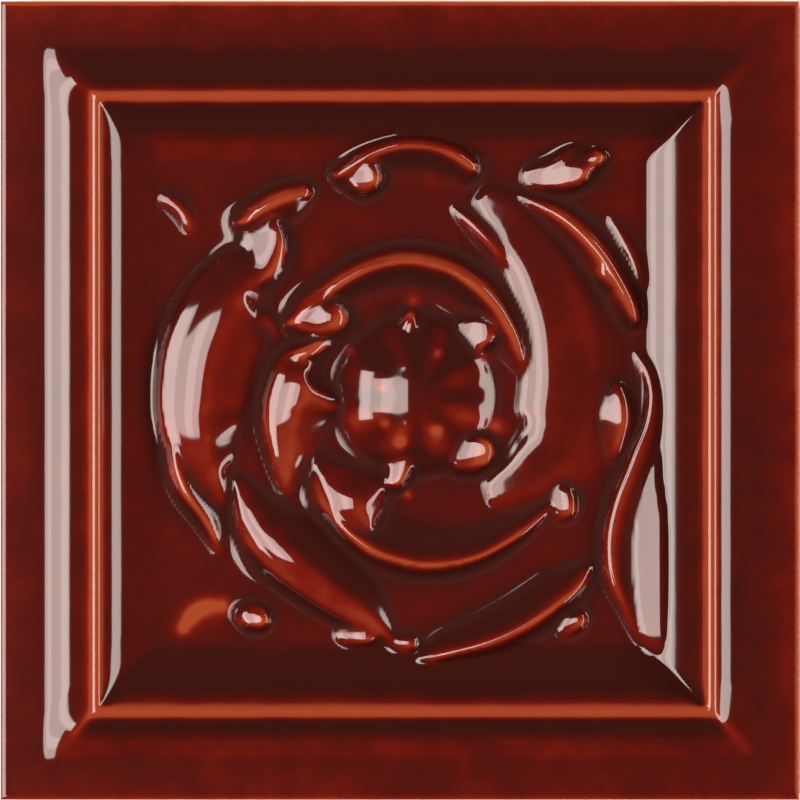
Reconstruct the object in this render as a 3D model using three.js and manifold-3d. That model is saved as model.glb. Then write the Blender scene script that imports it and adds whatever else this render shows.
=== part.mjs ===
// Decorative insert tile: a square glazed tile with a raised square moulding, and in the sunk panel
// inside it a whirling leaf rosette round an eight-petalled flower. One pressed and fired piece.
// Millimetres, +Z up. The origin is at the middle of the flat back, and the face looks up.
import * as THREE from "three";
import { mergeVertices } from "three/addons/utils/BufferGeometryUtils.js";
import Module from "manifold-3d";

const wasm = await Module();
wasm.setup();

// The blank
const tileSide = 75;
const blankThickness = 8; // from the back to the flat border
const edgeRadius = 0.7; // worn top edge all round
const borderWidth = 3.6; // flat border outside the moulding

// The moulding: a cove on each side of a narrow rounded arris
const outerCoveWidth = 4.7;
const innerCoveWidth = 5.05;
const footAngle = 5; // degrees from flat where a cove starts
const outerCoveAngle = 42; // degrees from flat where the outer cove meets the arris
const innerCoveAngle = 50;
const arrisRadius = 0.45;
const reliefShift = new THREE.Vector3(0.3, -0.3, 0); // the relief sits a little off the blank's middle

// The rosette
const rosetteMiddle = new THREE.Vector3(0.75, 0.35, 0); // from the middle of the panel
const crestRise = 2.2; // a leaf's crest above the panel
const wallWidth = 1.2; // a leaf's steep outer wall
const scoopWidth = 4.4; // a leaf's hollow inner side
const rootDepth = 0.8; // how far a leaf's body reaches into the panel below it
const lobeStep = 1.3; // spacing of the sections along a leaf
const fewestStations = 6;
const tipShare = 0.02; // how far in from a leaf's tip its first section stands, as a share of its length

// A leaf's two sides as shares of their width and of the rise: the wall from its foot up to the crest,
// and the scoop from the crest down.
const outerWall = [[1, 0], [0.5, 0.72], [0.15, 1]];
const innerScoop = [[0.06, 1], [0.25, 0.72], [0.5, 0.32], [0.75, 0.08], [1, 0]];

// The flower
const petals = 8;
const petalReach = 8.5; // from the flower's middle to a petal's tip
const petalRoot = 2.4;
const petalWidth = 5;
const petalRise = 1.5;
const bossRadius = 2.7;
const bossRise = 1.7;
const petalTilt = -8; // degrees, so that a petal stands highest near its tip

// How finely curves are cut into straight steps
const edgeSteps = 4;
const arrisSteps = 4;
const outerCoveSteps = 7;
const innerCoveSteps = 8;
const petalSteps = [12, 8]; // round and from pole to pole
const bossSteps = [16, 10];

const radians = THREE.MathUtils.degToRad;

// A circular arc that runs outwards by `width` while its slope turns from one angle to the other.
function arcPoints(start, fromAngle, toAngle, width, steps) {
  const [from, to] = [radians(fromAngle), radians(toAngle)];
  const radius = width / (Math.sin(to) - Math.sin(from));
  return Array.from({ length: steps }, (_, i) => {
    const angle = from + ((to - from) * (i + 1)) / steps;
    return new THREE.Vector2(
      start.x - radius * (Math.sin(angle) - Math.sin(from)),
      start.y + radius * (Math.cos(from) - Math.cos(angle)),
    );
  });
}

// The moulding's section from its outer foot to its inner foot: distance from the panel's middle, and height.
const arrisWidth = arrisRadius * (Math.sin(radians(outerCoveAngle)) + Math.sin(radians(innerCoveAngle)));
const mouldingHalf = tileSide / 2 - borderWidth;
const panelHalf = mouldingHalf - outerCoveWidth - arrisWidth - innerCoveWidth;
const outerFoot = new THREE.Vector2(mouldingHalf, blankThickness);
const section = [outerFoot];
section.push(...arcPoints(outerFoot, footAngle, outerCoveAngle, outerCoveWidth, outerCoveSteps));
section.push(...arcPoints(section.at(-1), outerCoveAngle, -innerCoveAngle, arrisWidth, arrisSteps));
section.push(...arcPoints(section.at(-1), -innerCoveAngle, -footAngle, innerCoveWidth, innerCoveSteps));
const panelHeight = section.at(-1).y;

// A closed three.js geometry as a solid that can be joined and cut.
function solid(geometry) {
  const bare = geometry.clone();
  bare.deleteAttribute("normal");
  bare.deleteAttribute("uv");
  const merged = mergeVertices(bare, 1e-4);
  return new wasm.Manifold(
    new wasm.Mesh({
      numProp: 3,
      vertProperties: merged.attributes.position.array,
      triVerts: new Uint32Array(merged.index.array),
    }),
  );
}

// Turns a profile of half-widths and heights round the square: four sides, mitred at the corners.
function mitredSquare(profile) {
  const corners = profile.map((p) => new THREE.Vector2(p.x * Math.SQRT2, p.y));
  return new THREE.LatheGeometry(corners, 4, Math.PI / 4).rotateX(Math.PI / 2);
}

function blankSolid() {
  const half = tileSide / 2;
  const shoulder = new THREE.Vector2(half, blankThickness - edgeRadius);
  const roundEdge = Array.from({ length: edgeSteps }, (_, i) => {
    const angle = ((i + 1) / edgeSteps) * (Math.PI / 2);
    return new THREE.Vector2(
      half - edgeRadius * (1 - Math.cos(angle)),
      shoulder.y + edgeRadius * Math.sin(angle),
    );
  });
  const profile = [
    new THREE.Vector2(0, 0),
    new THREE.Vector2(half, 0),
    shoulder,
    ...roundEdge,
    new THREE.Vector2(0, blankThickness),
  ];
  return solid(mitredSquare(profile));
}

// What is sunk inside the moulding, and the moulding that stands round it.
function panelRecess() {
  const recessSide = 2 * (panelHalf + innerCoveWidth);
  const recess = new THREE.BoxGeometry(recessSide, recessSide, blankThickness);
  return solid(recess.translate(0, 0, panelHeight + blankThickness / 2));
}

function mouldingSolid() {
  const bedHeight = panelHeight - rootDepth;
  const profile = [
    new THREE.Vector2(panelHalf, bedHeight),
    new THREE.Vector2(mouldingHalf, bedHeight),
    ...section,
    new THREE.Vector2(panelHalf, bedHeight),
  ];
  return solid(mitredSquare(profile));
}

// The leaves. Each crest line is a list of [angle in degrees, radius as a share of the panel's half-width],
// anticlockwise about the rosette's middle. `rise`, `wall` and `scoop` are shares of the usual sizes.
const leaves = [
  { crest: [[19, 0.97], [38, 0.97], [49, 0.98], [62, 0.96]] },
  { crest: [[71, 0.98], [84, 1.03], [95, 1.03], [106, 0.99]] },
  { crest: [[115, 0.96], [127, 1.0], [138, 1.03]], scoop: 0.8 },
  { crest: [[130, 0.86], [140, 0.95], [159, 0.99], [177, 1.0], [188, 0.99]], scoop: 1.1 },
  { crest: [[186, 0.95], [195, 1.0], [205, 1.01], [218, 1.02]], scoop: 0.8 },
  { crest: [[205, 0.79], [221, 0.86], [238, 0.92], [257, 1.0]] },
  { crest: [[266, 1.05], [285, 1.04], [300, 1.03], [318, 1.0]] },
  {
    crest: [
      [18, 0.51], [33, 0.52], [54, 0.54], [74, 0.57], [90, 0.58], [114, 0.6], [135, 0.62], [148, 0.6],
    ],
  },
  { crest: [[144, 0.41], [158, 0.54], [174, 0.59], [191, 0.61], [205, 0.66]], scoop: 0.8 },
  {
    crest: [
      [207, 0.47], [225, 0.57], [237, 0.6], [256, 0.66], [270, 0.68], [289, 0.71], [309, 0.75], [330, 0.75],
    ],
  },
  { crest: [[314, 1.4], [318, 1.13], [332, 0.97], [350, 0.97], [365, 1.01], [380, 0.94]], scoop: 0.7 },
  { crest: [[-40, 0.62], [-15, 0.72], [10, 0.76], [35, 0.84], [60, 0.9]], rise: 0.75, scoop: 1.0, wall: 1.5 },
  { crest: [[147, 0.84], [151, 0.74], [156, 0.62]], rise: 0.8, wall: 1, scoop: 0.35 },
  { crest: [[139, 1.38], [141, 1.26], [145, 1.1]], rise: 0.7, scoop: 0.4 },
  { crest: [[222, 1.4], [229, 1.14], [237, 1.07], [248, 1.04]], rise: 0.7, scoop: 0.4 },
  { crest: [[52, 1.3], [57, 1.14], [63, 0.98]], rise: 0.7, scoop: 0.4 },
];

// A leaf's cross-section: offset from the crest, outwards positive, and height, for a leaf swollen by `swell`.
function leafSection({ rise = 1, wall = 1, scoop = 1 }, swell) {
  const top = crestRise * rise * swell;
  const outside = wallWidth * wall * swell;
  const inside = scoopWidth * scoop * swell;
  return [
    [outside, -rootDepth],
    ...outerWall.map(([width, height]) => [outside * width, top * height]),
    ...innerScoop.map(([width, height]) => [-inside * width, top * height]),
    [-inside, -rootDepth],
  ];
}

// A leaf: sections set square to its crest line, swelling from a point and tapering to a point.
function leafSolid(leaf) {
  const crest = new THREE.CatmullRomCurve3(
    leaf.crest.map(([angle, share]) => {
      const radius = share * panelHalf;
      return new THREE.Vector3(radius * Math.cos(radians(angle)), radius * Math.sin(radians(angle)), 0);
    }),
  );
  const stations = Math.max(fewestStations, Math.round(crest.getLength() / lobeStep));
  const positions = [];
  for (let i = 0; i <= stations; i++) {
    const t = i / stations;
    const at = crest.getPointAt(t);
    const along = crest.getTangentAt(t);
    const outward = new THREE.Vector3(along.y, -along.x, 0);
    const swell = Math.sqrt(Math.sin(Math.PI * (tipShare + (1 - 2 * tipShare) * t)));
    for (const [offset, height] of leafSection(leaf, swell)) {
      const point = at.clone().addScaledVector(outward, offset);
      positions.push(point.x, point.y, height);
    }
  }
  const ring = leafSection(leaf, 1).length;
  const faces = [];
  for (let i = 0; i < stations; i++) {
    for (let j = 0; j < ring; j++) {
      const [a, b] = [i * ring + j, i * ring + ((j + 1) % ring)];
      faces.push(a, a + ring, b, b, a + ring, b + ring);
    }
  }
  const last = stations * ring;
  for (let j = 1; j < ring - 1; j++) {
    faces.push(0, j, j + 1, last, last + j + 1, last + j);
  }
  const geometry = new THREE.BufferGeometry();
  geometry.setAttribute("position", new THREE.Float32BufferAttribute(positions, 3));
  geometry.setIndex(faces);
  return solid(geometry);
}

// The flower's petals lie round its boss, each a flattened dome that stands highest near its tip.
function petalSolid(index) {
  const length = petalReach - petalRoot;
  const dome = new THREE.SphereGeometry(0.5, ...petalSteps);
  dome.scale(length, petalWidth, 2 * petalRise);
  dome.rotateY(radians(petalTilt));
  dome.translate(petalRoot + length / 2, 0, 0);
  dome.rotateZ((2 * Math.PI * index) / petals);
  return solid(dome);
}

function flowerSolid() {
  const boss = new THREE.SphereGeometry(1, ...bossSteps);
  boss.scale(bossRadius, bossRadius, bossRise);
  let flower = solid(boss);
  for (let i = 0; i < petals; i++) {
    flower = flower.add(petalSolid(i));
  }
  return flower;
}

function rosetteSolid() {
  let rosette = flowerSolid();
  for (const leaf of leaves) {
    rosette = rosette.add(leafSolid(leaf));
  }
  return rosette.translate(rosetteMiddle.x, rosetteMiddle.y, panelHeight);
}

function tileSolid() {
  const shift = [reliefShift.x, reliefShift.y, 0];
  return blankSolid()
    .subtract(panelRecess().translate(shift))
    .add(mouldingSolid().translate(shift))
    .add(rosetteSolid().translate(shift));
}

// The solid's own vertices and triangles as a three.js geometry.
function geometryOf(body) {
  const mesh = body.getMesh();
  const geometry = new THREE.BufferGeometry();
  geometry.setAttribute("position", new THREE.BufferAttribute(mesh.vertProperties.slice(), 3));
  geometry.setIndex(new THREE.BufferAttribute(mesh.triVerts.slice(), 1));
  geometry.computeVertexNormals();
  return geometry;
}

const oxbloodGlaze = new THREE.MeshStandardMaterial({ color: 0x55140d, roughness: 0.08, metalness: 0 });

const insertTile = new THREE.Mesh(geometryOf(tileSolid()), oxbloodGlaze);
insertTile.name = "insert_tile";

const tile = new THREE.Group();
tile.add(insertTile);
export default tile;
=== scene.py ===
"""A glazed decorative insert tile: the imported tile's place and size, dressed with its relief and its glaze.

The relief is modelled as a press die would be: a moulding, swept leaves and a flower. A fine sheet of clay is
then draped over the die, its rim is drawn out into the border, sides and back, and the glaze is laid on it.
Millimetres are named MM, and everything else is in metres.
"""

import math
from math import radians

import bpy
import numpy as np
from bpy.props import FloatProperty, FloatVectorProperty, IntProperty, PointerProperty
from bpy.types import Operator, Panel, PropertyGroup
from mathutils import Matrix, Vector


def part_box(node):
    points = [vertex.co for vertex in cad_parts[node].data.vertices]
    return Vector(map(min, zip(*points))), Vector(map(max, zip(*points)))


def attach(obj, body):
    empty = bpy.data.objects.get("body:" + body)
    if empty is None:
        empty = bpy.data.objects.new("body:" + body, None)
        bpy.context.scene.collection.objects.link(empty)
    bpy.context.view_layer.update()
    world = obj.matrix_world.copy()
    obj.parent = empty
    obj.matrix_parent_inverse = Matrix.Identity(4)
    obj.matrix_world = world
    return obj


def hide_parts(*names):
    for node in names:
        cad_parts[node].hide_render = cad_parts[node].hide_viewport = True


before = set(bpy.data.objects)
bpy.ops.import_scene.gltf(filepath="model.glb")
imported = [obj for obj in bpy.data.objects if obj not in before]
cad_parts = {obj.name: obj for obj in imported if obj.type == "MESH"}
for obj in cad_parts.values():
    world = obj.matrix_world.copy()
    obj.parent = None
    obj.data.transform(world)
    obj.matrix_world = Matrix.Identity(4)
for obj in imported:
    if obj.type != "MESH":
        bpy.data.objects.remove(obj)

bl_info = {
    "name": "Decorative insert tile",
    "version": (1, 0, 0),
    "blender": (4, 5, 0),
    "location": "View3D > Sidebar > Tile",
    "description": "Presses, glazes and lights a square relief tile",
    "category": "Object",
}

MM = 0.001
NODE = "insert_tile"
TILE_LOW, TILE_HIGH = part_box(NODE)
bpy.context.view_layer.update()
TILE_SIDE = TILE_HIGH.x - TILE_LOW.x


def linear(red, green, blue):
    """A colour read as 0 to 255 on a screen, as the linear colour that shaders use."""
    parts = [value / 255 for value in (red, green, blue)]
    return tuple(p / 12.92 if p <= 0.04045 else ((p + 0.055) / 1.055) ** 2.4 for p in parts)


# Sizes and colours that a user would change


def length(name, description, millimetres):
    return FloatProperty(name=name, description=description, default=millimetres * MM, unit="LENGTH")


def slope(name, description, degrees):
    return FloatProperty(name=name, description=description, default=radians(degrees), unit="ROTATION")


def offset(name, description, x, y):
    return FloatVectorProperty(name=name, description=description, size=2, default=(x * MM, y * MM))


def colour(name, description, *on_screen):
    return FloatVectorProperty(
        name=name, description=description, size=3, subtype="COLOR", default=linear(*on_screen)
    )


class TileSizes(PropertyGroup):
    blank: length("Blank", "Thickness at the flat border", 8)
    border: length("Border", "Flat border's mean width", 4)
    outer_cove: length("Outer cove", "Width of the outer cove", 4.3)
    inner_fall: length("Inner fall", "Width of the inner cove's steep part", 2.2)
    inner_run: length("Inner run", "Width of the inner cove's middle part", 1.2)
    inner_foot: length("Inner foot", "Width of the inner cove's flat part", 2.15)
    arris: length("Arris", "Radius of the moulding's arris", 0.55)
    edge: length("Edge", "Radius of the worn top edge", 0.25)
    foot: slope("Foot", "Slope where a cove starts", 8)
    outer_slope: slope("Outer slope", "Outer cove's slope at the arris", 42)
    inner_slope: slope("Inner slope", "Inner cove's slope at the arris", 50)
    shift: offset("Shift", "Relief's place off the blank's middle", 0.3, -0.3)
    cells: IntProperty(name="Cells", description="Cells along the draped sheet's side", default=282)


class ReliefSizes(PropertyGroup):
    middle: offset("Middle", "Rosette's middle from the panel's", 0.75, 0.35)
    flower: offset("Flower", "Flower's middle from the rosette's", 0.5, 0.4)
    dome: length("Dome", "Radius of the flower's dome", 12.7)
    dome_rise: length("Dome rise", "Top of the flower's dome over the panel", 2.6)
    dome_side: slope("Dome side", "Slope round the dome's foot", 34)
    petal_reach: length("Petal reach", "Distance of the petals' middles", 5)
    lean: slope("Lean", "Slope of a leaf's shoulder at its edge", 27)
    wall: slope("Wall", "Slope of a leaf's outer wall", 60)
    brow: length("Brow", "Radius of a leaf's crest", 0.55)
    foot: length("Foot", "Radius at a leaf's foot", 0.15)
    flow: IntProperty(name="Flow", description="Times that the glaze is evened out", default=7)
    corner_flow: IntProperty(name="Corner flow", description="The same in the coves' corners", default=150)


class GlazeLook(PropertyGroup):
    body: colour("Glaze", "Glaze on the flat", 73, 15, 9)
    # The pool and bright colours also carry painted shade and painted light on slopes, by which way each faces.
    pool: colour("Pool", "Glaze where it pools", 52, 16, 11)
    bright: colour("Bright", "Glaze where it is a little thin", 104, 22, 10)
    thin: colour("Thin", "Glaze on a crest", 142, 60, 34)
    biscuit: colour("Biscuit", "Bare fired clay", 214, 190, 172)


class StudioSetup(PropertyGroup):
    focal: FloatProperty(name="Lens", description="Focal length in millimetres", default=300)
    across: length("Across", "Width in view at the border", 75.12)
    left_light: FloatProperty(name="Left light", description="Radiance of the left softbox", default=12.8)
    right_light: FloatProperty(name="Right light", description="Radiance of the right strip", default=9)
    around: FloatProperty(name="Around", description="Brightness of the room", default=0.04)


# How finely curves are cut
COVE_STEPS = 16
ARRIS_STEPS = 8
FLANK_STEPS = 7
SHOULDER_STEPS = 8
TAPER_STEPS = 24
EDGE_STEPS = 4
DOME_STEPS = (160, 96)  # round, and from pole to pole
SMALL_STEPS = (40, 24)

# The inner cove's slopes where its steep part and its middle part end
FALL_END = radians(30)
RUN_END = radians(26)

# The flower's petals and the buds
PETALS = 8
FIRST_PETAL = 22.5  # degrees from +X
PETAL_HALVES = (2.5 * MM, 1.9 * MM, 0.42 * MM)  # half-length, half-width, half-thickness
PETAL_SINK = 0.32 * MM  # a petal's middle below the dome's face
BUD_HALF_THICKNESS = 0.3 * MM
BUD_SINK = 0.1 * MM
TIP = 0.02  # where a leaf's taper starts, as a share of its length

# The skin of the tile
OVERLAP = 0.4 * MM  # how far the draped sheet reaches outside the moulding
CRISP = 0.3 * MM  # flat strip that keeps the worn edge crisp
SIDE_LEVELS = (0.7, 0.45, 0.2, 0)  # shares of the blank's thickness
BACK_RIM = 0.9  # where the back's outer strip ends, as a share of the half-width
BARE_BELOW = 0.25  # share of the blank's thickness that the glaze leaves bare

# How the glaze gathers, and how strong the painted shade by slope is. Of a pair of widths, the first is that of
# the hollows looked for, and the second that of the evening out after.
DEPTH_CELLS = 300
GROOVE_WIDTHS = (0.45 * MM, 0.2 * MM)
HOLLOW_WIDTHS = (0.7 * MM, 0.3 * MM)
WIDE_WIDTH = 1.3 * MM
CLIMB_WIDTH = 0.35 * MM
HOLLOW_SHARE = 0.58
WIDE_SHARE = 0.1
SLOPE_SHADE_DEPTH = 0.5 * MM  # painted shade by slope: the depth that a share of 1 in the slope table stands for
FULL_DEPTH = 0.5 * MM  # the depth that the glaze's colours run over, either way
GRIME_START = 0.018 * MM
GRIME_FADE = 0.035 * MM

# Where the glaze is thinner: how much, and over what width
ARRIS_WEAR, ARRIS_BAND = 0.42 * MM, 0.5 * MM
EDGE_WEAR, EDGE_BAND = 0.6 * MM, 0.35 * MM
LEFT_AND_BOTTOM_SHARE, RIGHT_AND_TOP_SHARE = 0.3, 0.8
SPOT_WEAR = 0.3 * MM

# Where it is thicker on the flower: between the petals, on a ring, and in the middle
PETAL_RING, RING_WIDTH, RING_POOL = 4.6 * MM, 2.2 * MM, 0.09 * MM
FLOWER_REACH, FLOWER_POOL = 6 * MM, 0.07 * MM

# How strongly two noises vary the glaze's depth
MOTTLE = 0.4
DRIFT = 0.2

# The stage: each light is (degrees from straight up, degrees from +X, half-angles in height and in width,
# share of its side's radiance, distance in metres)
WARM_LEFT = (1, 0.84, 0.79)
WARM_RIGHT = (1, 0.86, 0.8)
LEFT_LIGHTS = {
    "left_softbox_high": (22.5, 180, (14.5, 14), 0.75, 1.2),
    "left_softbox_low": (44.5, 180, (7.5, 22), 0.75, 1.2),
    "left_tube_high": (22, 180, (5, 14), 0.25, 1.19),
    "left_tube_low": (45, 180, (5, 22), 0.25, 1.19),
}
RIGHT_LIGHTS = {"right_strip": (68.5, 0, (6.8, 43), 1, 1.2)}
FLOOR_SIDE = 3
FLOOR_DROP = 0.05 * MM
FLOOR_COLOUR = (0.8, 0.79, 0.77, 1)
ROOM_COLOUR = (1, 0.96, 0.92, 1)
SENSOR = 36  # millimetres
CAMERA_RAISE = 0.05 * MM  # the view's middle above the tile's


# Where the moulding and the rosette stand


def arc(start, from_angle, to_angle, width, steps):
    """Points of an arc that runs inwards by `width` while its slope turns from one angle to the other."""
    radius = width / (math.sin(to_angle) - math.sin(from_angle))
    points = []
    for step in range(1, steps + 1):
        angle = from_angle + (to_angle - from_angle) * step / steps
        inwards = radius * (math.sin(angle) - math.sin(from_angle))
        points.append((start[0] - inwards, start[1] + radius * (math.cos(from_angle) - math.cos(angle))))
    return points


def moulding_section(sizes):
    """The moulding's (half-width, height) points from its outer foot to its inner foot."""
    arris_width = sizes.arris * (math.sin(sizes.outer_slope) + math.sin(sizes.inner_slope))
    points = [(TILE_SIDE / 2 - sizes.border, sizes.blank)]
    points += arc(points[-1], sizes.foot, sizes.outer_slope, sizes.outer_cove, COVE_STEPS)
    points += arc(points[-1], sizes.outer_slope, -sizes.inner_slope, arris_width, ARRIS_STEPS)
    points += arc(points[-1], -sizes.inner_slope, -FALL_END, sizes.inner_fall, COVE_STEPS // 2)
    points += arc(points[-1], -FALL_END, -RUN_END, sizes.inner_run, COVE_STEPS // 4)
    points += arc(points[-1], -RUN_END, -sizes.foot, sizes.inner_foot, COVE_STEPS // 2)
    return points


# Ridges of the rosette, from the outer leaves inwards. Each crest line is a list of (angle in degrees,
# radius as a share of the panel's half-width) about the rosette's middle. Sizes are in millimetres and
# slopes in degrees: `slope` is the inner side's, `wall` the outer side's, and `ends` says how each end
# tapers, from 0.25 for a blunt end to 1 for a sharp one. The other names are told at leaf_section.
LEAVES = {
    "outer_right": dict(
        rise=1.8, slope=38, foot=0.8, ends=(0.4, 0.6),
        crest=[(18, 0.975), (26, 0.98), (46, 0.98), (63, 0.96)],
    ),
    "spur": dict(
        rise=0.45, wall=40, slope=24, ends=(0.4, 1.0),
        crest=[(26, 1.06), (32, 1.085), (38, 1.1), (44, 1.12)],
    ),
    "outer_top": dict(
        rise=1.8, slope=36, foot=5, ends=(0.6, 0.25),
        crest=[(73, 0.98), (75, 0.99), (82, 1.035), (90, 1.05), (98, 1.03), (109, 0.97)],
    ),
    "outer_upper_left": dict(
        rise=1.7, slope=34, foot=1, ends=(0.5, 0.25),
        crest=[(115, 0.955), (122, 0.985), (129, 1.0), (135, 1.01)],
    ),
    "outer_left": dict(
        rise=2.1, shoulder=9.5,
        crest=[
            (130, 0.84), (138, 0.91), (146, 0.97), (160, 1.01),
            (176, 1.025), (190, 1.01), (202, 0.955), (210, 0.9),
        ],
    ),
    "outer_lower_left": dict(
        rise=1.4, slope=40, foot=1,
        crest=[(188, 0.985), (191, 0.996), (201, 1.0), (211, 0.98), (218, 1.005)],
    ),
    "lower_left": dict(
        rise=1.9, shoulder=5.5,
        crest=[(203, 0.8), (217, 0.865), (227, 0.895), (237, 0.905), (255, 0.95), (266, 1.01)],
    ),
    "outer_bottom": dict(
        rise=1.8, slope=32, foot=3,
        crest=[(270, 1.075), (278, 1.055), (292, 1.045), (307, 1.03), (312, 1.025), (318, 1.0)],
    ),
    "inner_top": dict(
        rise=2.0, slope=38, foot=4, ends=(0.6, 0.25),
        crest=[
            (15, 0.475), (26, 0.49), (38, 0.505), (51, 0.525), (64, 0.545),
            (78, 0.565), (100, 0.575), (135, 0.57), (149, 0.59),
        ],
    ),
    "inner_left": dict(
        rise=2.1, shoulder=6.5, ends=(0.9, 0.8),
        crest=[
            (148, 0.415), (155, 0.485), (162, 0.535), (173, 0.565),
            (185, 0.59), (202, 0.61), (216, 0.65),
        ],
    ),
    "inner_bottom": dict(
        rise=1.9, slope=36, foot=6,
        crest=[
            (208, 0.45), (222, 0.515), (237, 0.575), (249, 0.615),
            (261, 0.65), (283, 0.69), (306, 0.705), (327, 0.73),
        ],
    ),
    "inner_bottom_start": dict(
        rise=2.0, shoulder=6, ends=(1, 1),
        crest=[(206, 0.45), (222, 0.515), (237, 0.58), (249, 0.62), (258, 0.645)],
    ),
    "stem": dict(
        rise=1, wall=24, slope=52, brow=0.8,
        crest=[
            (313, 1.376), (316, 1.23), (318, 1.136), (323, 1.03), (331, 0.963),
            (345, 0.955), (357, 0.989), (365, 0.984), (372, 0.941),
        ],
    ),
    "ledge": dict(
        rise=0.9, wall=70, slope=50, top=2.5, tilt=9, ends=(0.5, 0.5),
        crest=[
            (314, 1.49), (317, 1.415), (322, 1.31), (328, 1.215),
            (335, 1.135), (342, 1.065), (351, 1.03),
        ],
    ),
    "pillow": dict(
        rise=0.85, wall=14, slope=28, brow=7.3, top=3.6, foot=0.2, ends=(0.5, 0.5),
        crest=[
            (308, 0.525), (328, 0.63), (343, 0.71), (357, 0.735),
            (369, 0.755), (394, 0.815), (417, 0.885), (431, 0.915),
        ],
    ),
    "lens": dict(
        rise=1.2, wall=50, slope=13,
        crest=[(343, 0.869), (351, 0.876), (357, 0.874), (363, 0.85), (367, 0.815)],
    ),
    "leaflet": dict(
        rise=0.8, wall=40, slope=55,
        crest=[(54, 0.665), (61, 0.71), (69, 0.755), (78, 0.815)],
    ),
    "vein": dict(
        rise=0.5, slope=40,
        crest=[(147, 0.835), (149, 0.755), (151, 0.68), (154, 0.61)],
    ),
    "corner_upper_right": dict(
        rise=1.1, slope=30,
        crest=[(55, 1.285), (57, 1.22), (59, 1.125), (63, 1.045)],
    ),
    "corner_upper_left": dict(
        rise=0.5, wall=45, slope=45, ends=(0.25, 0.25),
        crest=[(141, 1.34), (140.2, 1.265), (140.5, 1.205), (142.5, 1.145)],
    ),
}

# Buds at the leaves' ends and between the petals: small pads that rise to the right, so that they catch
# the left light. Each is (angle, radius as a share of the panel's half-width, half-length, half-width,
# rise to the right in degrees, turn of its length from +X in degrees, height over the panel), with
# lengths in millimetres.
BUDS = {
    "inner_top_end": (139, 0.5, 2.9, 1.7, 14, 5, 0.65),
    "outer_top_end": (102, 0.93, 1.8, 1.6, 15, 25, 0.6),
    "inner_left_start": (156, 0.477, 2.5, 0.7, 12, 25, 1.0),
    "junction": (135, 0.865, 2.3, 3.4, 15, -10, 0.4),
    "outer_right_end": (31.5, 0.955, 0.9, 1.6, 17, 45, 1.1),
    "petal_upper_right": (47, 0.36, 2.4, 1.9, 14, 12, 0),
    "petal_lower_right": (317, 0.335, 2.4, 1.7, 14, 25, 0.55),
    "petal_bottom": (259, 0.285, 1.3, 2.2, 16, -15, 0.5),
    "petal_top": (93, 0.3, 0.9, 1.6, 18, -15, 0.75),
    "inner_bottom_tip": (325.5, 0.75, 1.5, 1.8, 16, 10, 0),
    "corner_left_bud": (234, 1.105, 1.7, 1.2, 14, -15, 0.3),
    "lower_left_tip": (256.5, 1.0, 2.0, 0.9, 13, -10, 0),
    "outer_bottom_start": (268, 1.0, 1.5, 0.8, 13, 0, 0),
    "corner_lower_right": (305.5, 1.135, 1.7, 1.0, 14, 35, 0),
    "outer_upper_left_end": (117.5, 0.965, 0.7, 0.7, 15, 30, 0.6),
    "wedge_low": (57, 1.1, 3.4, 1.6, 12, 5, 0.1),
    "wedge_high": (54, 1.19, 2.6, 1.1, 14, 25, 0.2),
}

# Painted shade and light by which way a slope faces: how much darker or lighter its glaze colour is made, by its
# climb towards +Y. Slopes facing +Y and steep slopes facing -Y are painted darker, gentle ones facing -Y lighter.
# Each pair is (climb, share of the depth set above for painted shade).
SLOPE_SHADE = (
    (-0.9, 0.0),
    (-0.6, 0.25),
    (-0.3, 0.25),
    (0, 0),
    (0.2, -0.15),
    (0.4, -0.1),
    (0.6, 0.3),
    (0.9, 0.3),
)

# Places where the glaze is thin: on the flower's raised dots and petal tips, and in a streak in the lower
# left corner. Each is (angle, radius as a share of the panel's half-width, size in millimetres).
RUBBED = (
    (141, 0.32, 0.6),
    (223, 0.145, 0.55),
    (256, 0.18, 0.55),
    (312, 0.165, 0.6),
    (60, 0.22, 0.5),
    (28, 0.34, 0.8),
    (342, 0.365, 0.9),
    (322, 0.38, 0.7),
    (89, 0.4, 0.7),
    (268, 0.39, 0.5),
    (160, 0.13, 0.5),
)
CORNER_STREAK = (
    (225, 1.33, 0.7),
    (224.5, 1.28, 0.8),
    (224.5, 1.235, 0.9),
    (225.5, 1.19, 0.9),
    (227.5, 1.15, 0.8),
)


# Small modelling helpers


def deselect_all():
    if bpy.context.object and bpy.context.object.mode != "OBJECT":
        bpy.ops.object.mode_set(mode="OBJECT")
    bpy.ops.object.select_all(action="DESELECT")


def choose(*objects):
    """Selects these objects alone, with the first one active."""
    deselect_all()
    for thing in objects:
        thing.select_set(True)
    bpy.context.view_layer.objects.active = objects[0]


def added(name):
    """The object that an operator just added, named."""
    thing = bpy.context.object
    thing.name = name
    thing.data.name = name
    return thing


def apply_modifier(thing, kind, **settings):
    choose(thing)
    modifier = thing.modifiers.new(kind.title(), kind)
    for key, value in settings.items():
        setattr(modifier, key, value)
    bpy.ops.object.modifier_apply(modifier=modifier.name)


def join(name, pieces):
    choose(*pieces)
    bpy.ops.object.join()
    return added(name)


def positions(mesh):
    flat = np.empty(len(mesh.vertices) * 3, np.float32)
    mesh.vertices.foreach_get("co", flat)
    return flat.reshape(-1, 3).astype(float)


def draw_out(half_and_height, middle):
    """In edit mode, with a square's rim selected, extrudes it to each half-width and height in turn."""
    (half, height), *targets = half_and_height
    for new_half, new_height in targets:
        bpy.ops.mesh.extrude_edges_move()
        factor = new_half / half
        bpy.ops.transform.resize(value=(factor, factor, 1), center_override=(*middle, height))
        bpy.ops.transform.translate(value=(0, 0, new_height - height))
        half, height = new_half, new_height


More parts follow.
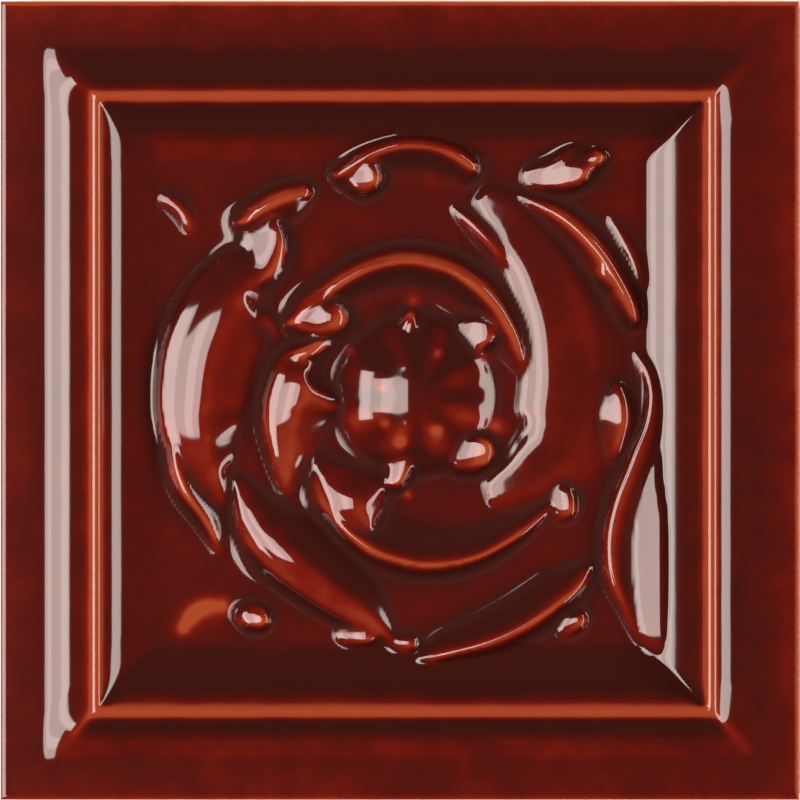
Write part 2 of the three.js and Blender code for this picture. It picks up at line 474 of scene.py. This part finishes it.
def plain_curve(name, points, closed=False, smooth=False):
    """A flat curve through points: straight between them, or rounded."""
    bpy.ops.curve.primitive_bezier_curve_add()
    curve = added(name)
    curve.data.dimensions = "2D"
    curve.data.splines.clear()
    spline = curve.data.splines.new("BEZIER")
    spline.bezier_points.add(len(points) - 1)
    for knot, (x, y) in zip(spline.bezier_points, points):
        knot.co = (x, y, 0)
        knot.handle_left_type = knot.handle_right_type = "AUTO" if smooth else "VECTOR"
    spline.use_cyclic_u = closed
    spline.resolution_u = 12 if smooth else 1
    return curve


# The press die


def model_moulding(sizes):
    """The panel, both coves and the border beyond them, as one open sheet."""
    section = moulding_section(sizes)[::-1]
    half, height = section[0]
    middle = tuple(sizes.shift)
    bpy.ops.mesh.primitive_plane_add(size=2 * half, location=(*middle, height))
    moulding = added("die_moulding")
    bpy.ops.object.transform_apply()
    bpy.ops.object.mode_set(mode="EDIT")
    bpy.ops.mesh.select_mode(type="EDGE")
    bpy.ops.mesh.select_all(action="SELECT")
    bpy.ops.mesh.region_to_loop()
    draw_out(section + [(TILE_SIDE, sizes.blank)], middle)
    bpy.ops.object.mode_set(mode="OBJECT")
    return moulding


def rosette_point(middle, half, angle, share):
    """The place at an angle in degrees and a share of the panel's half-width from the rosette's middle."""
    reach = share * half
    return (middle[0] + reach * math.cos(radians(angle)), middle[1] + reach * math.sin(radians(angle)))


def flank(rise, slope, brow, foot):
    """Points down one side of a ridge, as (distance from its top, height): brow, straight slope, foot."""
    turn = 1 - math.cos(slope)
    shrink = min(1, rise / ((brow + foot) * turn))
    brow, foot = brow * shrink, foot * shrink
    bends = [slope * step / FLANK_STEPS for step in range(1, FLANK_STEPS + 1)]
    points = [(brow * math.sin(bend), rise - brow * (1 - math.cos(bend))) for bend in bends]
    out = brow * math.sin(slope) + (rise - (brow + foot) * turn) / math.tan(slope) + foot * math.sin(slope)
    for bend in [*reversed(bends), 0]:
        points.append((out - foot * math.sin(bend), foot * (1 - math.cos(bend))))
    return points


def leaf_section(relief, rise, slope=26, wall=None, top=0, brow=None, foot=None, tilt=0, shoulder=0):
    """A ridge's section: x outwards from its crest or edge, y up from the panel.

    `brow` and `foot` are the inner side's radii, `shoulder` is the radius of a convex top that still rises
    inwards from the edge, `top` is a flat next to it, and `tilt` lowers the flat's inner end.
    """
    outer_slope = relief.wall if wall is None else radians(wall)
    inner_brow = relief.brow if brow is None else brow * MM
    inner_foot = relief.foot if foot is None else foot * MM
    rise, top, shoulder = rise * MM, top * MM, shoulder * MM
    lean = relief.lean
    edge_height = rise - shoulder * (1 - math.cos(lean))
    inner_rise = rise - top * math.tan(radians(tilt))
    outside = flank(edge_height, outer_slope, relief.brow, relief.foot)
    inside = flank(inner_rise, radians(slope), inner_brow, inner_foot)
    points = [(outside[-1][0], -rise), *reversed(outside), (0.0, edge_height)]
    inwards = 0.0
    if shoulder:
        for step in range(1, SHOULDER_STEPS + 1):
            bend = lean * (1 - step / SHOULDER_STEPS)
            inwards = shoulder * (math.sin(lean) - math.sin(bend))
            points.append((-inwards, rise - shoulder * (1 - math.cos(bend))))
    if top:
        points.append((-inwards - top, inner_rise))
    points += [(-inwards - top - out, height) for out, height in inside]
    points.append((points[-1][0], -rise))
    return points


def model_leaf(name, relief, half, origin, crest, ends=(0.7, 0.7), **shape):
    """One leaf: its section swept along its crest line, swelling from one end and tapering to the other."""
    section = plain_curve(name + "_section", leaf_section(relief, **shape), closed=True)
    swell = []
    for step in range(TAPER_STEPS + 1):
        along = TIP + (1 - 2 * TIP) * step / TAPER_STEPS
        start, end = (min(1, 2 * along) * math.pi / 2, min(1, 2 * (1 - along)) * math.pi / 2)
        swell.append((along, math.sin(start) ** ends[0] * math.sin(end) ** ends[1]))
    taper = plain_curve(name + "_taper", swell)
    line = [rosette_point(origin, half, angle, share) for angle, share in crest]
    leaf = plain_curve(name, line, smooth=True)
    leaf.data.bevel_mode = "OBJECT"
    leaf.data.bevel_object = section
    leaf.data.taper_object = taper
    leaf.data.use_fill_caps = True
    choose(leaf)
    bpy.ops.object.convert(target="MESH")
    for helper in (section, taper):
        bpy.data.objects.remove(helper)
    return leaf


def model_ellipsoid(name, where, halves, turn):
    """A sphere stretched to three half-sizes and turned."""
    around, upwards = SMALL_STEPS
    bpy.ops.mesh.primitive_uv_sphere_add(segments=around, ring_count=upwards, radius=1, location=where)
    ellipsoid = added(name)
    ellipsoid.scale = halves
    ellipsoid.rotation_euler = turn
    bpy.ops.object.transform_apply()
    return ellipsoid


def model_flower(relief, origin, height):
    """The flower: a low dome on a cone that carries its slope down to the panel, with faint petals."""
    middle = (origin[0] + relief.flower[0], origin[1] + relief.flower[1])
    top = height + relief.dome_rise
    around, upwards = DOME_STEPS
    bpy.ops.mesh.primitive_uv_sphere_add(
        segments=around, ring_count=upwards, radius=relief.dome, location=(*middle, top - relief.dome)
    )
    pieces = [added("die_flower_dome")]
    shoulder = relief.dome * math.sin(relief.dome_side)
    shoulder_rise = relief.dome_rise - relief.dome * (1 - math.cos(relief.dome_side))
    bpy.ops.mesh.primitive_cone_add(
        vertices=around,
        radius1=shoulder + 2 * shoulder_rise / math.tan(relief.dome_side),
        radius2=shoulder,
        depth=2 * shoulder_rise,
        location=(*middle, height),
    )
    pieces.append(added("die_flower_side"))
    lean = math.asin(relief.petal_reach / relief.dome)
    depth = relief.dome - PETAL_SINK
    for index in range(PETALS):
        angle = radians(FIRST_PETAL + 360 / PETALS * index)
        where = (
            middle[0] + depth * math.sin(lean) * math.cos(angle),
            middle[1] + depth * math.sin(lean) * math.sin(angle),
            top - relief.dome + depth * math.cos(lean),
        )
        pieces.append(model_ellipsoid("die_petal", where, PETAL_HALVES, (0, lean, angle)))
    return join("die_flower", pieces)


def model_bud(name, half, origin, height, shape):
    """A thin pad whose left end lies on the panel and whose right end stands up."""
    angle, share, half_length, half_width, rise, turn, base = shape
    x, y = rosette_point(origin, half, angle, share)
    z = height + half_length * MM * math.sin(radians(rise)) + base * MM - BUD_SINK
    halves = (half_length * MM, half_width * MM, BUD_HALF_THICKNESS)
    return model_ellipsoid(name, (x, y, z), halves, (0, -radians(rise), radians(turn)))


def model_die(sizes, relief):
    """The whole face in raw clay: moulding, leaves and flower, joined but not merged."""
    half, height = moulding_section(sizes)[-1]
    origin = (sizes.shift[0] + relief.middle[0], sizes.shift[1] + relief.middle[1])
    leaves = [model_leaf("die_" + name, relief, half, origin, **leaf) for name, leaf in LEAVES.items()]
    for leaf in leaves:
        leaf.location.z = height
        choose(leaf)
        bpy.ops.object.transform_apply()
    buds = [model_bud("die_" + name, half, origin, height, shape) for name, shape in BUDS.items()]
    return join("die", [model_moulding(sizes), model_flower(relief, origin, height), *leaves, *buds])


# The tile


def drape(name, die, cells, side, middle, top):
    """A square sheet laid on the die from above."""
    bpy.ops.mesh.primitive_grid_add(
        x_subdivisions=cells, y_subdivisions=cells, size=side, location=(*middle, top)
    )
    sheet = added(name)
    bpy.ops.object.transform_apply()
    apply_modifier(
        sheet,
        "SHRINKWRAP",
        target=die,
        wrap_method="PROJECT",
        use_project_z=True,
        use_negative_direction=True,
        use_positive_direction=False,
    )
    return sheet


def blur(grid, sigma):
    """A grid of heights evened out over `sigma` cells."""
    reach = int(3 * sigma) + 1
    weights = np.exp(-0.5 * (np.arange(-reach, reach + 1) / sigma) ** 2)
    weights /= weights.sum()
    padded = np.pad(grid, reach, mode="edge")
    rows = np.array([np.convolve(row, weights, "valid") for row in padded])
    return np.array([np.convolve(column, weights, "valid") for column in rows.T]).T


def face_heights(die, sizes):
    """The die's heights over the whole face, on a square grid."""
    sheet = drape("depth_sheet", die, DEPTH_CELLS, TILE_SIDE, (0, 0), TILE_HIGH.z + sizes.blank)
    points = positions(sheet.data)
    bpy.data.objects.remove(sheet)
    order = np.lexsort((points[:, 0], points[:, 1]))
    return points[order, 2].reshape(DEPTH_CELLS + 1, DEPTH_CELLS + 1)


def band(away, width):
    """1 in the middle of a band, fading to 0 on both sides."""
    return np.exp(-((away / width) ** 2))


def worn_glaze(across, along, sizes, relief):
    """How much thinner the glaze is on the arris, along the tile's edge and on the thin places."""
    section = moulding_section(sizes)
    arris = max(section, key=lambda point: point[1])[0]
    half = section[-1][0]
    worn = ARRIS_WEAR * band(np.maximum(np.abs(across), np.abs(along)) - arris, ARRIS_BAND)
    inside_edge = TILE_SIDE / 2 - np.maximum(np.abs(across + sizes.shift[0]), np.abs(along + sizes.shift[1]))
    edge_share = np.where(across + along > 0, RIGHT_AND_TOP_SHARE, LEFT_AND_BOTTOM_SHARE)
    worn += edge_share * EDGE_WEAR * band(inside_edge, EDGE_BAND)
    for angle, share, size in RUBBED + CORNER_STREAK:
        x, y = rosette_point(relief.middle, half, angle, share)
        worn += SPOT_WEAR * band(np.hypot(across - x, along - y), size * MM)
    return worn


def flower_glaze(across, along, relief):
    """How much thicker the glaze lies between the flower's petals and in its middle."""
    beside = across - relief.middle[0] - relief.flower[0]
    above = along - relief.middle[1] - relief.flower[1]
    reach = np.hypot(beside, above)
    between = band(reach - PETAL_RING, RING_WIDTH) * np.cos(PETALS * np.arctan2(above, beside))
    return RING_POOL * between + FLOWER_POOL * np.exp(-((reach / FLOWER_REACH) ** 4))


def glaze_depths_and_shade(die, sizes, relief):
    """How much thicker than usual the glaze lies over the whole face, with painted shade and light by which way
    each slope faces, and how deep the leaves' feet are.

    Both are square grids, in metres.
    """
    heights = face_heights(die, sizes)
    cell = TILE_SIDE / DEPTH_CELLS
    groove, hollow = (
        blur(blur(heights, width / cell) - heights, after / cell)
        for width, after in (GROOVE_WIDTHS, HOLLOW_WIDTHS)
    )
    wide = blur(heights, WIDE_WIDTH / cell) - heights
    # Painted shade and light: slopes facing +Y and steep slopes facing -Y are made darker, gentle slopes facing
    # -Y lighter, through the glaze's depth.
    climb = np.gradient(blur(heights, CLIMB_WIDTH / cell), cell, axis=0)
    run = np.interp(climb, *zip(*SLOPE_SHADE)) * SLOPE_SHADE_DEPTH
    places = np.arange(DEPTH_CELLS + 1) * cell - TILE_SIDE / 2
    across, along = np.meshgrid(places - sizes.shift[0], places - sizes.shift[1])
    depth = HOLLOW_SHARE * hollow + WIDE_SHARE * wide + run
    depth += flower_glaze(across, along, relief) - worn_glaze(across, along, sizes, relief)
    return depth, groove


def sample(grid, x, y):
    """The grid's value at each place on the face, between its corners."""
    last = len(grid) - 1
    column = np.clip((x / TILE_SIDE + 0.5) * last, 0, last - 1e-6)
    row = np.clip((y / TILE_SIDE + 0.5) * last, 0, last - 1e-6)
    left, low = column.astype(int), row.astype(int)
    u, v = column - left, row - low
    lower = grid[low, left] * (1 - u) + grid[low, left + 1] * u
    upper = grid[low + 1, left] * (1 - u) + grid[low + 1, left + 1] * u
    return lower * (1 - v) + upper * v


def press_tile(die, sizes, relief):
    """The tile's whole skin: the draped face, and its rim drawn out to the border, sides and back."""
    half = TILE_SIDE / 2
    sheet_half = half - sizes.border + OVERLAP
    middle = tuple(sizes.shift)
    tile = drape("glazed_insert_tile", die, sizes.cells, 2 * sheet_half, middle, TILE_HIGH.z + sizes.blank)
    even_out(tile, relief_weights(sizes, middle), relief.flow)
    even_out(tile, corner_weights(sizes, middle), relief.corner_flow)
    choose(tile)
    bpy.ops.object.mode_set(mode="EDIT")
    bpy.ops.mesh.select_mode(type="EDGE")
    bpy.ops.mesh.select_all(action="SELECT")
    bpy.ops.mesh.region_to_loop()
    border = [(sheet_half, sizes.blank), (half - sizes.edge - CRISP, sizes.blank)]
    draw_out(border, middle)
    bpy.ops.transform.translate(value=(-middle[0], -middle[1], 0))
    rounding = [border[-1]]
    for step in range(EDGE_STEPS + 1):
        angle = step / EDGE_STEPS * math.pi / 2
        out = half - sizes.edge * (1 - math.sin(angle))
        rounding.append((out, sizes.blank - sizes.edge * (1 - math.cos(angle))))
    sides = [(half, sizes.blank * share) for share in SIDE_LEVELS]
    draw_out(rounding + sides, (0, 0))
    draw_out([(half, 0), (BACK_RIM * half, 0)], (0, 0))
    bpy.ops.mesh.edge_face_add()
    bpy.ops.mesh.select_all(action="SELECT")
    bpy.ops.mesh.normals_make_consistent(inside=False)
    bpy.ops.object.mode_set(mode="OBJECT")
    bpy.ops.object.shade_smooth()
    return tile


def relief_weights(sizes, middle):
    """Full weight on the panel, fading out up the inner cove."""
    fade = 2 * MM
    reach = moulding_section(sizes)[-1][0] + 2.5 * MM

    def weight(x, y):
        away = np.maximum(np.abs(x - middle[0]), np.abs(y - middle[1]))
        return np.clip((reach - away) / fade, 0, 1)

    return weight


def corner_weights(sizes, middle):
    """Weight in the coves' mitres, where glaze fills the corner: less in the inner cove, and only on its left."""
    section = moulding_section(sizes)
    arris = max(section, key=lambda point: point[1])[0]
    inner_share = 0.4
    fill_width = 3 * MM
    clear, fade = 0.7 * MM, 1.5 * MM
    reach, step = arris + 0.5 * MM, 1 * MM
    outer_fade = 0.7 * MM

    def weight(x, y):
        across, along = np.abs(x - middle[0]), np.abs(y - middle[1])
        away = np.maximum(across, along)
        mitre = np.clip(1.5 - np.abs(across - along) / fill_width, 0, 1)
        off_arris = np.clip((np.abs(away - arris) - clear) / fade, 0, 1)
        outside = np.clip((away - reach) / step, 0, 1) * np.clip((section[0][0] - away) / outer_fade, 0, 1)
        inside = inner_share * np.clip((reach - away) / step, 0, 1) * (x < middle[0])
        return mitre * off_arris * (outside + inside)

    return weight


def even_out(tile, weight, times):
    """Lets the heights flow together where the weight says so."""
    points = positions(tile.data)
    weights = weight(points[:, 0], points[:, 1])
    group = tile.vertex_groups.new(name="flow")
    for index in np.flatnonzero(weights > 0):
        group.add([int(index)], float(weights[index]), "REPLACE")
    apply_modifier(
        tile, "SMOOTH", factor=0.5, iterations=times, use_x=False, use_y=False, vertex_group="flow"
    )
    tile.vertex_groups.clear()


# The finishes


class Wire:
    """One socket of a shader, with sums written as plain maths. A number may stand for a socket."""

    def __init__(self, tree, socket=None):
        self.tree = tree
        self.socket = socket

    def node(self, kind, settings=None, values=None, output=0):
        """Adds a node, sets it up, feeds its sockets, and gives the wire of one of its outputs."""
        made = self.tree.nodes.new(kind)
        for key, value in (settings or {}).items():
            if key == "stops":
                for _ in range(len(value) - 2):
                    made.color_ramp.elements.new(0.5)
                for element, (position, shade) in zip(made.color_ramp.elements, value):
                    element.position = position
                    element.color = (*shade, 1)
            else:
                setattr(made, key, value)
        for key, value in (values or {}).items():
            if isinstance(value, Wire):
                self.tree.links.new(value.socket, made.inputs[key])
            else:
                made.inputs[key].default_value = value
        return Wire(self.tree, made.outputs[output]) if made.outputs else made

    def maths(self, operation, *values):
        return self.node("ShaderNodeMath", {"operation": operation}, dict(enumerate(values)))

    def __add__(self, other):
        return self.maths("ADD", self, other)

    def __radd__(self, other):
        return self.maths("ADD", other, self)

    def __sub__(self, other):
        return self.maths("SUBTRACT", self, other)

    def __rsub__(self, other):
        return self.maths("SUBTRACT", other, self)

    def __mul__(self, other):
        return self.maths("MULTIPLY", self, other)

    def __rmul__(self, other):
        return self.maths("MULTIPLY", other, self)

    def clamp(self, low=0.0, high=1.0):
        return self.node("ShaderNodeClamp", None, {"Value": self, "Min": low, "Max": high})

    def ramp(self, low, high):
        """0 below `low`, 1 above `high`, smooth between."""
        settings = {"interpolation_type": "SMOOTHSTEP"}
        return self.node("ShaderNodeMapRange", settings, {"Value": self, "From Min": low, "From Max": high})

    def blend(self, first, second):
        """Mixes two colours, with this wire as the share of the second."""
        values = {"Factor": self, "A": as_colour(first), "B": as_colour(second)}
        return self.node("ShaderNodeMix", {"data_type": "RGBA"}, values, 2)


def as_colour(value):
    return value if isinstance(value, Wire) else (*value, 1)


def new_material(name):
    material = bpy.data.materials.new(name)
    material.use_nodes = True
    material.node_tree.nodes.clear()
    return material, Wire(material.node_tree)


def glaze_material(look):
    """Oxblood glaze over a pale body: thin and orange on crests, dark where it pools, with painted shade and
    light on slopes by which way they face.
    """
    material, pen = new_material("oxblood_glaze")
    spot = pen.node("ShaderNodeTexCoord", output="Object")
    # The depth carries painted shade and light by slope direction as well as the glaze's thickness.
    depth = pen.node("ShaderNodeAttribute", {"attribute_name": "glaze_depth"}, output="Fac")
    mottle = pen.node(
        "ShaderNodeTexNoise", None, {"Vector": spot, "Scale": 260, "Detail": 4, "Roughness": 0.6}
    )
    drift = pen.node("ShaderNodeTexNoise", None, {"Vector": spot, "Scale": 45, "Detail": 2})
    level = depth + (mottle - 0.5) * MOTTLE + (drift - 0.5) * DRIFT
    stops = [
        (0.0, look.thin),
        (0.22, look.thin),
        (0.38, look.bright),
        (0.5, look.body),
        (0.62, look.pool),
        (1.0, look.pool),
    ]
    ramp_place = (level * 0.5 + 0.5).clamp()
    colour = pen.node(
        "ShaderNodeValToRGB", {"stops": [(at, tuple(shade)) for at, shade in stops]}, {"Fac": ramp_place}
    )
    ripple = pen.node("ShaderNodeTexNoise", None, {"Vector": spot, "Scale": 150, "Detail": 1})
    bump = pen.node("ShaderNodeBump", None, {"Height": ripple, "Strength": 0.12, "Distance": 0.2 * MM})
    gloss = pen.node(
        "ShaderNodeBsdfPrincipled",
        None,
        {"Base Color": colour, "Roughness": 0.07, "IOR": 1.5, "Normal": bump},
    )
    dull = pen.node(
        "ShaderNodeBsdfPrincipled", None, {"Base Color": colour, "Roughness": 0.8, "Specular IOR Level": 0.1}
    )
    grime = pen.node("ShaderNodeAttribute", {"attribute_name": "grime"}, output="Fac")
    shader = pen.node("ShaderNodeMixShader", None, {"Fac": grime, 1: gloss, 2: dull})
    pen.node("ShaderNodeOutputMaterial", None, {"Surface": shader})
    return material


def biscuit_material(look):
    """Bare fired clay of the back and the foot of the sides."""
    material, pen = new_material("biscuit")
    spot = pen.node("ShaderNodeTexCoord", output="Object")
    grain = pen.node(
        "ShaderNodeTexNoise", None, {"Vector": spot, "Scale": 900, "Detail": 6, "Roughness": 0.7}
    )
    cloud = pen.node("ShaderNodeTexNoise", None, {"Vector": spot, "Scale": 60, "Detail": 3})
    darker = tuple(0.72 * value for value in look.biscuit)
    colour = (grain * 0.5 + cloud * 0.5).ramp(0.35, 0.65).blend(darker, tuple(look.biscuit))
    bump = pen.node("ShaderNodeBump", None, {"Height": grain, "Strength": 0.5, "Distance": 0.15 * MM})
    clay = {"Base Color": colour, "Roughness": 0.85, "Normal": bump}
    shader = pen.node("ShaderNodeBsdfPrincipled", None, clay)
    pen.node("ShaderNodeOutputMaterial", None, {"Surface": shader})
    return material


def write_attribute(mesh, name, values):
    attribute = mesh.attributes.new(name, "FLOAT", "POINT")
    attribute.data.foreach_set("value", values.astype(np.float32))


def lay_glaze(tile, depths_and_shade, grooves, look, sizes):
    """Writes the glaze's depth with its painted shade, and the grime's place on the skin, and lays the glaze and
    the bare clay.
    """
    points = positions(tile.data)
    depth = np.clip(sample(depths_and_shade, points[:, 0], points[:, 1]) / FULL_DEPTH, -1, 1)
    away = np.max(np.abs(points[:, :2]), axis=1)
    on_side = away > TILE_SIDE / 2 - 0.5 * sizes.edge
    depth[on_side & (points[:, 2] < sizes.blank - sizes.edge)] = 0
    write_attribute(tile.data, "glaze_depth", depth)
    grime = np.clip((sample(grooves, points[:, 0], points[:, 1]) - GRIME_START) / GRIME_FADE, 0, 1)
    grime[away > moulding_section(sizes)[-1][0]] = 0
    write_attribute(tile.data, "grime", grime)
    tile.data.materials.append(glaze_material(look))
    tile.data.materials.append(biscuit_material(look))
    for face in tile.data.polygons:
        if face.center.z < BARE_BELOW * sizes.blank:
            face.material_index = 1


# The stage


def area_light(name, zenith, azimuth, spread, radiance, distance, colour):
    """A flat light that a point on the tile sees `zenith` degrees from straight up.

    `spread` is how many degrees it reaches to each side of its middle, in height and in width.
    """
    direction = Vector(
        (
            math.sin(radians(zenith)) * math.cos(radians(azimuth)),
            math.sin(radians(zenith)) * math.sin(radians(azimuth)),
            math.cos(radians(zenith)),
        )
    )
    tall, wide = (2 * distance * math.tan(radians(half)) for half in spread)
    bpy.ops.object.light_add(type="AREA", location=direction * distance)
    light = bpy.context.object
    light.name = name
    light.data.shape = "RECTANGLE"
    light.data.size = wide
    light.data.size_y = tall
    light.data.energy = radiance * math.pi * wide * tall
    light.data.color = colour
    light.rotation_euler = direction.to_track_quat("Z", "Y").to_euler()
    return light


class TILE_OT_press(Operator):
    """Press the tile on its die, draw out its sides and back, and glaze it"""

    bl_idname = "tile.press"
    bl_label = "Press and glaze the tile"

    def execute(self, context):
        sizes, relief, look = context.scene.tile_sizes, context.scene.relief_sizes, context.scene.glaze_look
        deselect_all()
        die = model_die(sizes, relief)
        depths_and_shade, grooves = glaze_depths_and_shade(die, sizes, relief)
        tile = press_tile(die, sizes, relief)
        bpy.data.objects.remove(die)
        lay_glaze(tile, depths_and_shade, grooves, look, sizes)
        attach(tile, "root")
        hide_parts(NODE)
        return {"FINISHED"}


class TILE_OT_stage(Operator):
    """Lay the floor, hang the lights and set the camera straight above the tile"""

    bl_idname = "tile.stage"
    bl_label = "Set the stage"

    def execute(self, context):
        setup, sizes = context.scene.studio_setup, context.scene.tile_sizes
        deselect_all()
        bpy.ops.mesh.primitive_plane_add(size=FLOOR_SIDE, location=(0, 0, -FLOOR_DROP))
        floor = added("floor")
        material, pen = new_material("floor")
        shader = pen.node("ShaderNodeBsdfPrincipled", None, {"Base Color": FLOOR_COLOUR, "Roughness": 0.7})
        pen.node("ShaderNodeOutputMaterial", None, {"Surface": shader})
        floor.data.materials.append(material)
        sides = ((LEFT_LIGHTS, setup.left_light, WARM_LEFT), (RIGHT_LIGHTS, setup.right_light, WARM_RIGHT))
        for lights, radiance, tint in sides:
            for name, (zenith, azimuth, spread, share, distance) in lights.items():
                area_light(name, zenith, azimuth, spread, share * radiance, distance, tint)
        world = bpy.data.worlds.new("room")
        world.use_nodes = True
        background = world.node_tree.nodes["Background"]
        background.inputs["Color"].default_value = ROOM_COLOUR
        background.inputs["Strength"].default_value = setup.around
        context.scene.world = world
        distance = setup.across * setup.focal / SENSOR
        bpy.ops.object.camera_add(location=(0, CAMERA_RAISE, sizes.blank + distance))
        camera = bpy.context.object
        camera.name = "camera"
        camera.data.lens = setup.focal
        camera.data.sensor_width = SENSOR
        camera.data.clip_start = 0.01
        context.scene.camera = camera
        context.scene.view_settings.view_transform = "Standard"
        return {"FINISHED"}


class TILE_PT_panel(Panel):
    """The tile's steps, in order"""

    bl_label = "Insert tile"
    bl_idname = "TILE_PT_panel"
    bl_space_type = "VIEW_3D"
    bl_region_type = "UI"
    bl_category = "Tile"

    def draw(self, context):
        for group in ("tile_sizes", "relief_sizes", "glaze_look", "studio_setup"):
            holder = getattr(context.scene, group)
            for key in holder.__annotations__:
                self.layout.prop(holder, key)
        self.layout.operator(TILE_OT_press.bl_idname)
        self.layout.operator(TILE_OT_stage.bl_idname)


CLASSES = (TileSizes, ReliefSizes, GlazeLook, StudioSetup, TILE_OT_press, TILE_OT_stage, TILE_PT_panel)
GROUPS = {
    "tile_sizes": TileSizes,
    "relief_sizes": ReliefSizes,
    "glaze_look": GlazeLook,
    "studio_setup": StudioSetup,
}


def register():
    for cls in CLASSES:
        bpy.utils.register_class(cls)
    for name, group in GROUPS.items():
        setattr(bpy.types.Scene, name, PointerProperty(type=group))


def unregister():
    for name in GROUPS:
        delattr(bpy.types.Scene, name)
    for cls in reversed(CLASSES):
        bpy.utils.unregister_class(cls)


def main():
    register()
    bpy.ops.tile.press()
    bpy.ops.tile.stage()


if __name__ == "__main__":
    main()
